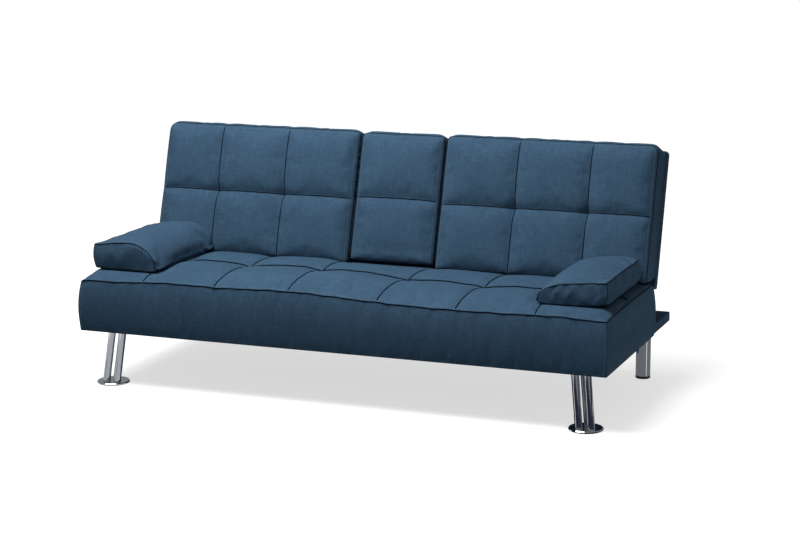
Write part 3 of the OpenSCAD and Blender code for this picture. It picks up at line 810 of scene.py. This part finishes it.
ledge_hem = [[(i, LNY - 1, 0) for i in rng(LNX)]]
ledge = Soft("ledge_upholstery", "base", LX, LY, LZ, ledge_place, ledge_hem,
             free=lambda i, j, k: k > 0 and j > 0 and 0 < i < LNX - 1, cap=lambda i, j, k: 0.0005 if k == LNZ - 1 else 0.0012, pressure=0.8, slack=0.003,
             bend=3.0, fill=1.0, replaces=("ledge_cover",), crease=0.0)

# ---- loose arm cushions
AX0, AX1, AY0, AY1 = 0.655, 0.885, -0.335, 0.100


class Arm:
    def __init__(self, name, body, side, node, prof, low, lift, foot, rear_r, out, crown):
        self.s, self.prof, self.low, self.lift = side, prof, low, lift
        self.foot, self.rear_r, self.out, self.crown = foot, rear_r, out, crown
        self.X = spaced([AX0, AX0 + 0.008, AX1 - 0.008, AX1], 0.0115)
        self.Y = spaced([AY0, AY0 + 0.008, AY1 - 0.008, AY1], 0.0115)
        self.Z = spaced([0.0, 0.1, 0.9, 1.0], 0.14)
        nx, ny, nz = self.n = (len(self.X), len(self.Y), len(self.Z))
        T = nz - 1
        self.top = [[(i, 0, T) for i in rng(nx)], [(i, ny - 1, T) for i in rng(nx)], [(nx - 1, j, T) for j in rng(ny)]]
        self.vert = [[(nx - 1, j, k) for k in rng(nz)] for j in (0, ny - 1)]
        self.base = [[(i, 0, 0) for i in rng(nx)], [(i, ny - 1, 0) for i in rng(nx)], [(nx - 1, j, 0) for j in rng(ny)]]
        self.tip = [[(0, j, k) for k in rng(nz)] for j in (0, ny - 1)]
        seams = self.top + self.vert + self.base + self.tip
        if side < 0:
            flip = lambda x, y, z: (-x, y, z)
        else:
            flip = None
        self.soft = Soft(name, body, self.X, self.Y, self.Z, self.place, seams,
                         free=lambda i, j, k: True,
                         cap=lambda i, j, k: 0.015 if k == T else (0.004 if k == 0 else 0.010),
                         pressure=5.0, slack=0.022, bend=0.8, fill=0.6, replaces=(node,), crease=0.85)
        if side < 0:  # mirror: the left cushion is built as a right one, then turned over
            pass

    def place(self, i, j, k):
        x, y, f = self.X[i], self.Y[j], self.Z[k]
        s = (y - AY0) / (AY1 - AY0)
        end = min(s, 1 - s)
        zt = interp(x, self.prof)
        zb = interp(x, self.low)
        # ends: the lower seam rides up off the seat
        up = self.lift * exp(-end * (AY1 - AY0) / 0.030)
        out = exp(-(AX1 - x) / 0.03)
        zb = zb + up + self.foot * out * (0.4 + 0.6 * exp(-end * 14))
        crown = self.crown * hump(s, 0.45) * (0.35 + 0.65 * hump(((x - AX0) / (AX1 - AX0)) ** 0.75, 0.7))
        if k == self.n[2] - 1:
            z = zt + crown * (0 if i == self.n[0] - 1 else 1)
        elif k == 0:
            z = zb
        else:
            z = zb + (zt + (crown if i == 0 else 0) - zb) * f
        # the ends pull in a little between the corners
        g = hump((x - AX0) / (AX1 - AX0), 0.8)
        if j == 0:
            y += 0.004 * g - 0.0035 * hump(f) * g
        if j == self.n[1] - 1:
            y -= 0.004 * g - 0.0035 * hump(f) * g
        if i == self.n[0] - 1:
            x += self.out - 0.004 * hump(s, 0.7) + 0.006 * hump(f)
            z += 0.0012 * sin(s * 23.0 + 1.0) * f
        if i == 0:
            x += 0.010 * (1 - hump(f, 0.6)) + 0.004 * exp(-end * 14)
        # the outer corners are rounded, more at the rear and towards the bottom
        for sgn, ye, r in ((-1, AY0, 0.010 + 0.009 * (1 - f)), (1, AY1, self.rear_r + 0.008 * (1 - f))):
            px, py = x - (AX1 + self.out - 0.004 - r), sgn * (y - (ye - sgn * r))
            if px > 0 and py > 0:
                m, l = max(px, py), math.hypot(px, py)
                x, y = AX1 + self.out - 0.004 - r + px * m / l, ye - sgn * r + sgn * py * m / l
                if sgn > 0:
                    z -= 0.006 * min(1.0, (px * py) / r ** 2 * 2) * f
        return (self.s * x, y, z)


# heights of the top seam and of the underside, from the inner tip to the outer edge
RIGHT_TOP = [(0.655, 0.402), (0.664, 0.414), (0.675, 0.425), (0.690, 0.436), (0.712, 0.444), (0.735, 0.450), (0.782, 0.456), (0.83, 0.461), (0.885, 0.4645)]
LEFT_TOP = [(0.655, 0.405), (0.663, 0.422), (0.673, 0.436), (0.687, 0.452), (0.700, 0.462), (0.722, 0.473), (0.745, 0.480), (0.770, 0.4815), (0.82, 0.478), (0.885, 0.469)]
LOW = [(0.655, 0.3915), (0.664, 0.3885), (0.680, 0.3865), (0.70, 0.3856), (0.885, 0.3856)]
right_arm = Arm("right_arm_cushion_cover", "right_cushion", 1, "right_arm_cushion", RIGHT_TOP, LOW, 0.002, 0.014, 0.050, 0.001, 0.012)
left_arm = Arm("left_arm_cushion_cover", "left_cushion", -1, "left_arm_cushion", LEFT_TOP, LOW, 0.004, 0.002, 0.024, 0.008, 0.008)
# the left cushion's faces were listed for the right-hand side, so they are turned to face outwards
left_arm.soft.ob.data.flip_normals()

softs = [seat, left_pad.soft, right_pad.soft, table.soft, rear, ledge, right_arm.soft, left_arm.soft]
SC.frame_start, SC.frame_end = 1, 24
for f in range(1, 23):
    SC.frame_set(f)


def seat_after(c, k):
    x, y, z = c
    if k[2] == K:
        # flattened where the arm cushions rest
        w = step(abs(x), 0.622, 0.652) * step(-abs(x), -0.903, -0.889) * step(y, -0.372, -0.342)
        z = z * (1 - w) + smin(z, 0.3844, 0.004) * w
        # and under the back cushions
        w = step(y, 0.092, 0.116)
        z = z * (1 - w) + smin(z, 0.3742, 0.003) * w
    return (x, y, z)


def arm_after(c, k):
    x, y, z = c
    return (x, min(y, 0.1035), max(z, 0.3852))


for s in softs:
    after = seat_after if s is seat else (arm_after if s in (right_arm.soft, left_arm.soft) else None)
    s.settle(after)
SC.frame_set(1)


def cutter(name, boxes=(), rods=()):
    """A hidden solid used once to cut a pocket."""
    import bmesh
    bm = bmesh.new()
    for lo, hi in boxes:
        g = bmesh.ops.create_cube(bm, size=1.0)
        for v in g["verts"]:
            v.co = Vector([l + (h - l) * (c + 0.5) for l, h, c in zip(lo, hi, v.co)])
    for (x, u, r, w0, w1) in rods:
        g = bmesh.ops.create_cone(bm, cap_ends=True, segments=64, radius1=r, radius2=r, depth=w1 - w0)
        rot = Matrix.Rotation(-LEAN, 4, "X") @ Matrix.Rotation(-pi / 2, 4, "X")
        c = Vector(back_row(x, (w0 + w1) / 2, u))
        for v in g["verts"]:
            v.co = rot @ v.co + c
    me = bpy.data.meshes.new(name)
    bm.to_mesh(me)
    bm.free()
    ob = bpy.data.objects.new(name, me)
    SC.collection.objects.link(ob)
    return ob


def carve(ob, tool):
    mod = ob.modifiers.new("cut", "BOOLEAN")
    mod.operation, mod.object, mod.solver = "DIFFERENCE", tool, "EXACT"
    bpy.context.view_layer.update()
    me = bpy.data.meshes.new_from_object(ob.evaluated_get(bpy.context.evaluated_depsgraph_get()))
    ob.modifiers.clear()
    old = ob.data
    ob.data = me
    bpy.data.meshes.remove(old)
    bpy.data.objects.remove(tool)


XI = HW - 0.026
slots = []
for s in (-1, 1):
    xa, xb = sorted((s * (XI - 0.0165), s * (XI + 0.0005)))
    slots += [((xa, 0.104, 0.227), (xb, 0.20, 0.3525))]
seat_cut = cutter("seat_cut", boxes=slots)
carve(seat.ob, seat_cut)
slots = []
for s in (-1, 1):
    xa, xb = sorted((s * (XI - 0.0165), s * (XI + 0.0005)))
    slots += [((xa, 0.1505, 0.345), (xb, 0.20, 0.40))]
carve(seat.ob, cutter("seat_cut2", boxes=slots))
carve(table.soft.ob, cutter("table_cut", rods=[(s * 0.070, 0.300, 0.0400, 0.034, 0.11) for s in (-1, 1)]))
for o in (seat.ob, table.soft.ob):
    if not o.data.materials:
        o.data.materials.append(BLUE)

# ------------------------------------------------------------------ seams and stitching
base_seams = Threads("seat_seams", "base", SEAM_SHADE_CORD)
base_stitch = Threads("seat_topstitch", "base", TOPSTITCH_HIGHLIGHT)
for s in [seat_front_seam, *seat_side_seams]:
    base_seams.tube(seat.path(s, 0.0002)[0], 0.0019)
for s in seat_cols:
    base_seams.tube(seat.path(s[1:-1], 0.0011)[0], 0.0021)
base_seams.tube(seat.path(seat_row[1:-1], 0.0018)[0], 0.0023)
base_stitch.stitches(*seat.path([(i, 1, K) for i in range(1, SNX - 1)], 0.0002))
for i in (1, SNX - 2):
    base_stitch.stitches(*seat.path([(i, j, K) for j in range(1, SNY - 4)], 0.0002))
for i, sg in ((1, -1), (SNX - 2, 1)):
    base_stitch.stitches(*seat.path([(i, 0, k) for k in range(1, SNZ)], 0.0002))
base_seams.tube(ledge.path([(i, LNY - 1, 0) for i in rng(LNX)], 0.0)[0], 0.0009)
base_seams.done()
base_stitch.done()

back_seams = Threads("back_seams", "backrest", SEAM_SHADE_CORD)
back_stitch = Threads("back_topstitch", "backrest", TOPSTITCH_HIGHLIGHT)
table_seams = Threads("table_seams", "table", SEAM_SHADE_CORD)
table_stitch = Threads("table_topstitch", "table", TOPSTITCH_HIGHLIGHT)
for pad, seams, stitch in ((left_pad, back_seams, back_stitch), (right_pad, back_seams, back_stitch), (table, table_seams, table_stitch)):
    nx, ny, nz = pad.n
    for s in pad.edge:
        seams.tube(pad.soft.path(s, 0.0001)[0], 0.0014)
    for s in pad.quilt:
        seams.tube(pad.soft.path(s[1:-1], 0.0006)[0], 0.0020)
    for s in pad.corner:
        seams.tube(pad.soft.path(s, -0.0004)[0], 0.0008)
    for s in pad.rear:
        seams.tube(pad.soft.path(s, -0.0002)[0], 0.0010)
    stitch.stitches(*pad.soft.path([(i, 0, nz - 2) for i in range(1, nx - 1)], 0.0002))
    for i in (1, nx - 2):
        stitch.stitches(*pad.soft.path([(i, 0, k) for k in range(1, nz - 1)], 0.0002))
# tacks that hold the left cushion's inner edge in the gap beside the table, drawn in the near-black seam colour as
# painted shade of the gathers there
nx, ny, nz = left_pad.n
for n in range(10):
    k = int(nz * 0.50) + int(n * nz * 0.042)
    if k < nz - 2:
        a, na = left_pad.soft.path([(nx - 1, 0, k)], 0.0004)
        b, nb = left_pad.soft.path([(nx - 1, 1, k)], 0.0004)
        back_seams.capsule(a[0] + (a[0] - b[0]) * 0.5, b[0] + (b[0] - a[0]) * 0.5, na[0], 0.0019)
for s in rear_edges + rear_front[:3]:
    back_seams.tube(rear.path(s, 0.0)[0], 0.0011)
for o in (back_seams, back_stitch):
    o.done()
# the folded table's cushion, seams and stitching each get a mesh of their own
for ob in (table.soft.ob, table_seams.done(), table_stitch.done()):
    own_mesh(ob)

# the bar under the table's foam, planed back so that it stays inside the cushion
bar_cad = bpy.data.objects["table_base_bar"]
bar_mesh = bar_cad.data.copy()
bar_mesh.transform(bar_cad.matrix_world)
for v in bar_mesh.vertices:
    w = (v.co.y - BO[0]) * CL - (v.co.z - BO[1]) * SL
    if w < 0.0190:
        v.co.y += (0.0190 - w) * CL
        v.co.z -= (0.0190 - w) * SL
    if abs(v.co.x) > 0.118:
        v.co.x = math.copysign(0.118, v.co.x)
bar = bpy.data.objects.new("table_bar", bar_mesh)
bpy.context.scene.collection.objects.link(bar)
bar_mesh.materials.clear()
bar_mesh.materials.append(PINE)
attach(bar, "table")
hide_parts("table_base_bar")

for arm, body, nm in ((left_arm, "left_cushion", "left_arm_seams"), (right_arm, "right_cushion", "right_arm_seams")):
    t = Threads(nm, body, SEAM_SHADE_CORD)
    for s in arm.top:
        t.tube(arm.soft.path(s, 0.0001)[0], 0.0016)
    for s in arm.vert:
        t.tube(arm.soft.path(s, -0.0004)[0], 0.0009)
    for s in arm.tip:
        t.tube(arm.soft.path(s[len(s) // 2:], -0.0002)[0], 0.0011)
    for s in arm.base:
        t.tube(arm.soft.path(s, -0.0002)[0], 0.0011)
    t.done()
    t = Threads(nm.replace("seams", "topstitch"), body, TOPSTITCH_HIGHLIGHT)
    anx, any_, anz = arm.n
    for j in (1, any_ - 2):
        t.stitches(*arm.soft.path([(i, j, anz - 1) for i in range(1, anx - 1)], 0.0002))
    t.stitches(*arm.soft.path([(anx - 2, j, anz - 1) for j in range(1, any_ - 1)], 0.0002))
    t.done()

# ------------------------------------------------------------------ lining and staples under the seat
DX = spaced([-0.9065, 0.9065], 0.03)
DY = spaced([-0.4065, 0.178], 0.03)
verts, faces = [], []
for side, z in ((0, 0.1880), (1, 0.1887)):
    for j, y in enumerate(DY):
        for i, x in enumerate(DX):
            edge = min(x + 0.9065, 0.9065 - x, y + 0.4065, 0.178 - y)
            wave = 0.0003 * sin(x * 31 + y * 17) * min(1, edge / 0.05)
            verts.append((x * 0.988, -0.002 + y * 0.98, z + wave))
nxd, nyd = len(DX), len(DY)
off = nxd * nyd
for j in range(nyd - 1):
    for i in range(nxd - 1):
        a = j * nxd + i
        faces.append((a, a + nxd, a + nxd + 1, a + 1))
        faces.append((off + a, off + a + 1, off + a + nxd + 1, off + a + nxd))
rim = [j * nxd + i for j, i in [(0, i) for i in range(nxd)] + [(j, nxd - 1) for j in range(1, nyd)] + [(nyd - 1, i) for i in range(nxd - 2, -1, -1)] + [(j, 0) for j in range(nyd - 2, 0, -1)]]
for a, b in zip(rim, rim[1:] + rim[:1]):
    faces.append((a, b, off + b, off + a))
me = bpy.data.meshes.new("seat_lining")
me.from_pydata(verts, [], faces)
me.update()
me.shade_smooth()
me.materials.append(LINING)
lining = bpy.data.objects.new("seat_lining", me)
SC.collection.objects.link(lining)
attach(lining, "base")
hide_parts("seat_dust_cover")

staples = Threads("lining_staples", "base", ZINC, slot="zinc_steel")
for n in range(29):
    x = -0.86 + n * 1.72 / 28
    for y in (-0.398, 0.168):
        if abs(abs(x) - 0.80) > 0.09 or y > 0:
            staples.capsule(np.array([x - 0.005, y, 0.1878]), np.array([x + 0.005, y, 0.1878]), np.array([0, 0, -1.0]), 0.0006)
for n in range(9):
    y = -0.36 + n * 0.5 / 8
    for x in (-0.895, 0.895):
        staples.capsule(np.array([x, y - 0.005, 0.1878]), np.array([x, y + 0.005, 0.1878]), np.array([0, 0, -1.0]), 0.0006)
staples.done()

# ------------------------------------------------------------------ floor, light


def stage_mesh(name, verts, faces, mat):
    me = bpy.data.meshes.new(name)
    me.from_pydata(verts, [], faces)
    me.materials.append(mat)
    ob = bpy.data.objects.new(name, me)
    SC.collection.objects.link(ob)
    return ob


floor_mat, nt, b = new_mat("pale_floor")
b.inputs["Base Color"].default_value = (0.5, 0.5, 0.5, 1)
b.inputs["Roughness"].default_value = 0.8
b.inputs["Specular IOR Level"].default_value = 0.0
b.inputs["Emission Color"].default_value = (1, 1, 1, 1)
b.inputs["Emission Strength"].default_value = 0.65
floor = stage_mesh("floor", [(-60, -60, 0), (60, -60, 0), (60, 60, 0), (-60, 60, 0)], [(0, 1, 2, 3)], floor_mat)
floor.visible_diffuse = floor.visible_glossy = False

world = bpy.data.worlds.new("studio")
SC.world = world
world.use_nodes = True
bg = world.node_tree.nodes["Background"]
bg.inputs[0].default_value = (1, 1, 1, 1)
bg.inputs[1].default_value = 0.27


def light(name, kind, loc, target, power, size):
    d = bpy.data.lights.new(name, kind)
    d.energy = power
    if kind == "SUN":
        d.angle = math.radians(size)
    else:
        d.size = size
    o = bpy.data.objects.new(name, d)
    o.location = loc
    o.rotation_euler = (Vector(target) - Vector(loc)).to_track_quat("-Z", "Y").to_euler()
    SC.collection.objects.link(o)
    return o


def card(name, corners, color, glossy=True):
    """Studio card under the floor, seen only in reflections, or only as bounced light."""
    mat, nt, b = new_mat(name)
    b.inputs["Base Color"].default_value = (0, 0, 0, 1)
    b.inputs["Specular IOR Level"].default_value = 0.0
    b.inputs["Emission Color"].default_value = (*color, 1)
    b.inputs["Emission Strength"].default_value = 1.0
    ob = stage_mesh(name, corners, [tuple(range(len(corners)))], mat)
    ob.visible_camera = ob.visible_shadow = ob.visible_transmission = ob.visible_volume_scatter = False
    ob.visible_glossy, ob.visible_diffuse = glossy, not glossy
    return ob


BIG = [(-60, -60), (60, -60), (60, 60), (-60, 60)]
card("card_bounce", [(x, y, -0.012) for x, y in BIG], (0.16, 0.17, 0.19), glossy=False)
card("card_bounce_right", [(x, y, -0.010) for x, y in ((1.00, -0.75), (4.0, -1.2), (4.0, 2.5), (1.00, 0.70))], (1.5, 1.5, 1.5), glossy=False)
card("card_white", [(x, y, -0.008) for x, y in BIG], (0.95, 0.95, 0.95))
card("card_front_right", [(x, y, -0.006) for x, y in ((0.05, -50), (50, -50), (50, 50), (0.05, 50))], (0.022, 0.028, 0.048))
card("card_front_right_strip", [(x, y, -0.004) for x, y in ((0.80, -0.355), (0.06, -0.685), (0.06, -0.930))], (1.1, 1.1, 1.1))
card("card_rear_right", [(x, y, -0.005) for x, y in ((0.45, -0.28), (2.0, -0.28), (2.0, 1.5), (0.45, 1.5))], (0.20, 0.21, 0.22))
card("card_rear_right_strip", [(x, y, -0.004) for x, y in ((0.87, 0.32), (1.72, -0.21), (1.86, 0.04))], (0.85, 0.86, 0.88))
card("card_front_left", [(x, y, -0.006) for x, y in ((-3.0, -2.4), (0.05, -2.4), (0.05, 1.6), (-3.0, 1.6))], (0.55, 0.56, 0.58))
card("card_front_left_dark", [(x, y, -0.004) for x, y in ((-0.80, -0.33), (0.04, -0.44), (0.04, 0.70), (-0.30, 0.70))], (0.02, 0.025, 0.04))
card("card_front_left_strip", [(x, y, -0.004) for x, y in ((-0.84, -0.36), (-1.62, -1.24), (-1.40, -1.42))], (0.10, 0.11, 0.13))

# white studio walls and ceiling behind the floor's edge, seen by the camera alone
backdrop_mat, nt, b = new_mat("white_backdrop")
b.inputs["Base Color"].default_value = (0, 0, 0, 1)
b.inputs["Specular IOR Level"].default_value = 0.0
b.inputs["Emission Color"].default_value = (1, 1, 1, 1)
b.inputs["Emission Strength"].default_value = 1.05
wall = [(x, y, z) for z in (-0.02, 70.0) for x, y in ((-59, -59), (59, -59), (59, 59), (-59, 59))]
backdrop = stage_mesh("backdrop", wall, [(0, 1, 5, 4), (1, 2, 6, 5), (2, 3, 7, 6), (3, 0, 4, 7), (4, 5, 6, 7)], backdrop_mat)
for flag in ("diffuse", "glossy", "transmission", "volume_scatter", "shadow"):
    setattr(backdrop, "visible_" + flag, False)

light("broad_light", "SUN", (-1.2, -0.9, 4.0), (0, 0, 0), 1.55, 30)
box = light("softbox", "AREA", (-0.38, -0.92, 2.42), (0.0, 0.05, 0.50), 91, 2.0)
box.data.shape, box.data.size_y = "RECTANGLE", 1.1

SC.view_settings.view_transform = "Standard"
SC.view_settings.look = "None"
SC.view_settings.exposure = 0.0
